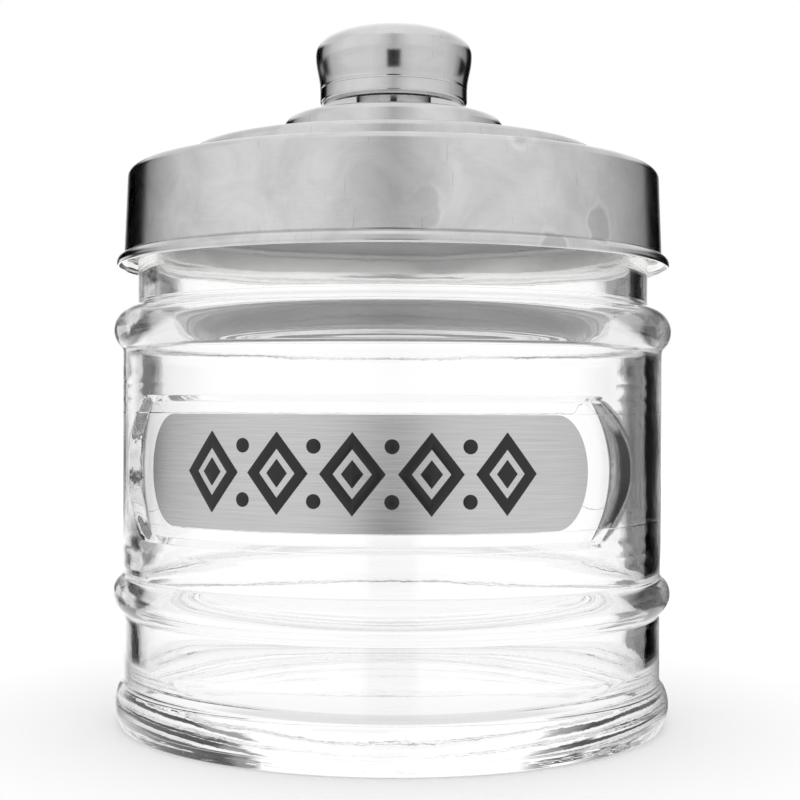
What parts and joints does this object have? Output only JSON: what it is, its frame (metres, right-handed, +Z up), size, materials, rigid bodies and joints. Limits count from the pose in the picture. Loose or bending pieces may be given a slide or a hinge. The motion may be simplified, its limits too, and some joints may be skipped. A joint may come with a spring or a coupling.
{
  "type": "sugar jar with lift-off knob lid",
  "caption": "Round beaded glass sugar jar with a brushed metal label and a stepped pressed metal lid that lifts off by its knob.",
  "frame": {"origin": "middle of the base, on the surface that the jar stands on", "axes": "+Z up along the jar's axis, -Y out through the middle of the label"},
  "size_m": [0.1096, 0.1096, 0.1364],
  "materials": {
    "clear_glass": "clear moulded soda-lime glass",
    "clear_glue": "clear glue film",
    "brushed_label": "fine horizontal brushing",
    "seal_plastic": "translucent moulded polythene",
    "lid_metal": "pressed sheet, satin, handled",
    "knob_metal": "drawn sheet, polished",
    "zinc_steel": "zinc plated"
  },
  "bodies": {
    "jar": {"glass_jar": "clear_glass", "label_adhesive": "clear_glue", "label_plate": "brushed_label"},
    "seal": {"sealing_ring": "seal_plastic"},
    "lid": {"lid_shell": "lid_metal", "screw_washer": "zinc_steel", "knob_screw": "zinc_steel", "knob_base": "knob_metal", "knob_nut": "zinc_steel", "knob_cap": "knob_metal"}
  },
  "joints": [
    {"name": "lid_lift", "type": "slide", "parent": "jar", "child": "seal", "axis": [0, 0, 1], "range_m": [0, 0.06]},
    {"name": "lid_turn", "type": "hinge", "parent": "seal", "child": "lid", "pos_m": [0, 0, 0.1], "axis": [0, 0, 1], "continuous": true}
  ]
}
